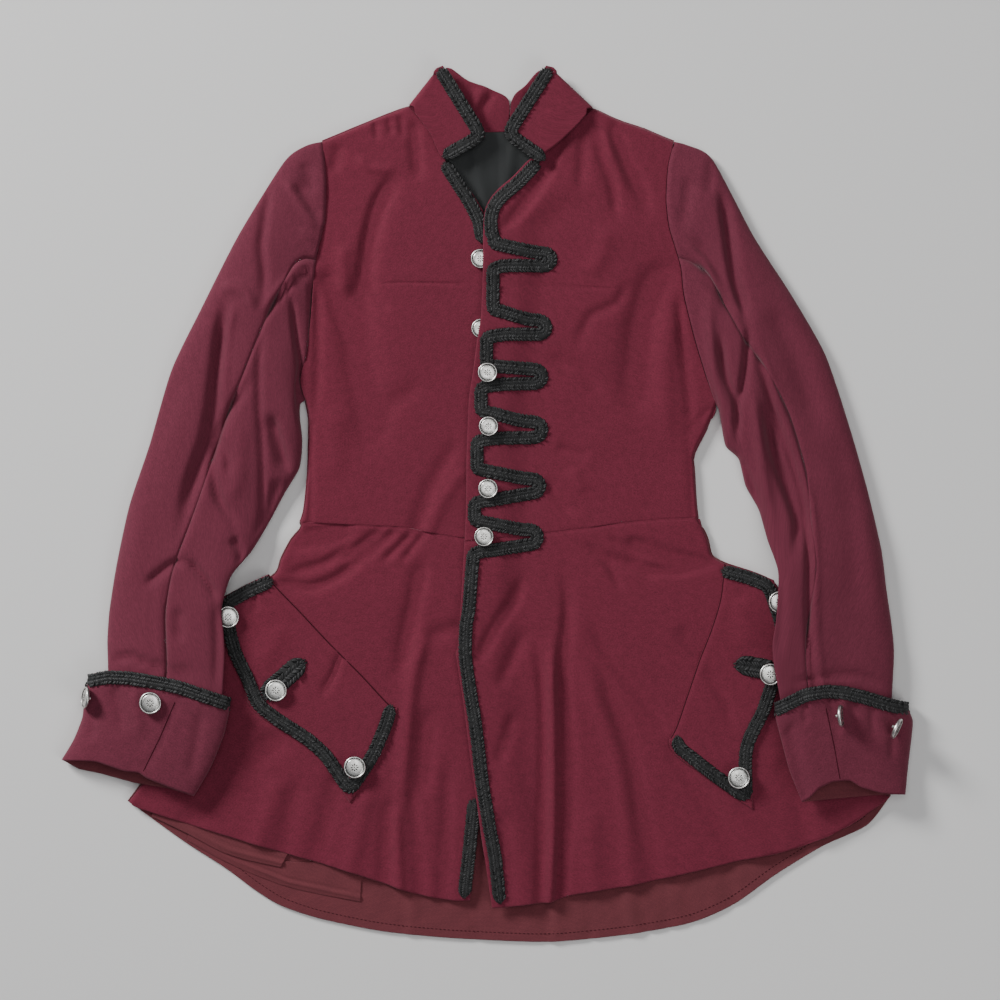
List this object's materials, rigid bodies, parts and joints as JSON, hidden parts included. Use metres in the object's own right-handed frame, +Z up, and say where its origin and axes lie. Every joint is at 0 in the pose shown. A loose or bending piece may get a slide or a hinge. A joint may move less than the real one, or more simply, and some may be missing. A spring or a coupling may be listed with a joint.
{
  "type": "napoleon jacket, laid flat",
  "caption": "Fitted burgundy wool military style jacket with a stand collar, black braid frogging, metal buttons, pocket flaps and a flared skirt, laid flat on its back.",
  "frame": {"origin": "centre of the laid jacket's outline, on the surface it rests on", "axes": "+Z up from the surface, +Y towards the collar, +X towards the wearer's left side"},
  "size_m": [0.8505, 0.877, 0.0353],
  "materials": {
    "wool": "soft brushed wool",
    "wool_back": "soft brushed wool",
    "gimp_braid": "slightly lustrous cord",
    "lining": "satin",
    "antique_silver": "aged, dark in the hollows"
  },
  "bodies": {
    "root": {"back_bodice": "wool_back", "back_lining": "lining", "back_pleat_lower": "wool_back", "back_pleat_upper": "wool_back", "back_skirt": "wool_back", "braid_collar_left": "gimp_braid", "braid_collar_right": "gimp_braid", "braid_cuff_left": "gimp_braid", "braid_cuff_right": "gimp_braid", "braid_edge_right": "gimp_braid", "braid_flap_left": "gimp_braid", "braid_flap_right": "gimp_braid", "braid_front_left": "gimp_braid", "braid_neck_right": "gimp_braid", "braid_tab_left": "gimp_braid", "braid_tab_right": "gimp_braid", "button_cuff_left_1": "antique_silver", "button_cuff_left_2": "antique_silver", "button_cuff_right_1": "antique_silver", "button_cuff_right_2": "antique_silver", "button_flap_left_1": "antique_silver", "button_flap_left_2": "antique_silver", "button_flap_left_3": "antique_silver", "button_flap_right_1": "antique_silver", "button_flap_right_2": "antique_silver", "button_flap_right_3": "antique_silver", "button_front_1": "antique_silver", "button_front_2": "antique_silver", "button_front_3": "antique_silver", "button_front_4": "antique_silver", "button_front_5": "antique_silver", "button_front_6": "antique_silver", "collar_left": "wool", "collar_right": "wool", "cuff_left": "wool", "cuff_right": "wool", "front_bodice_left": "wool", "front_bodice_right": "wool", "front_skirt_left": "wool", "front_skirt_right": "wool", "pocket_flap_left": "wool", "pocket_flap_right": "wool", "sleeve_left_under": "wool", "sleeve_left_upper": "wool", "sleeve_right_under": "wool", "sleeve_right_upper": "wool"}
  },
  "joints": []
}
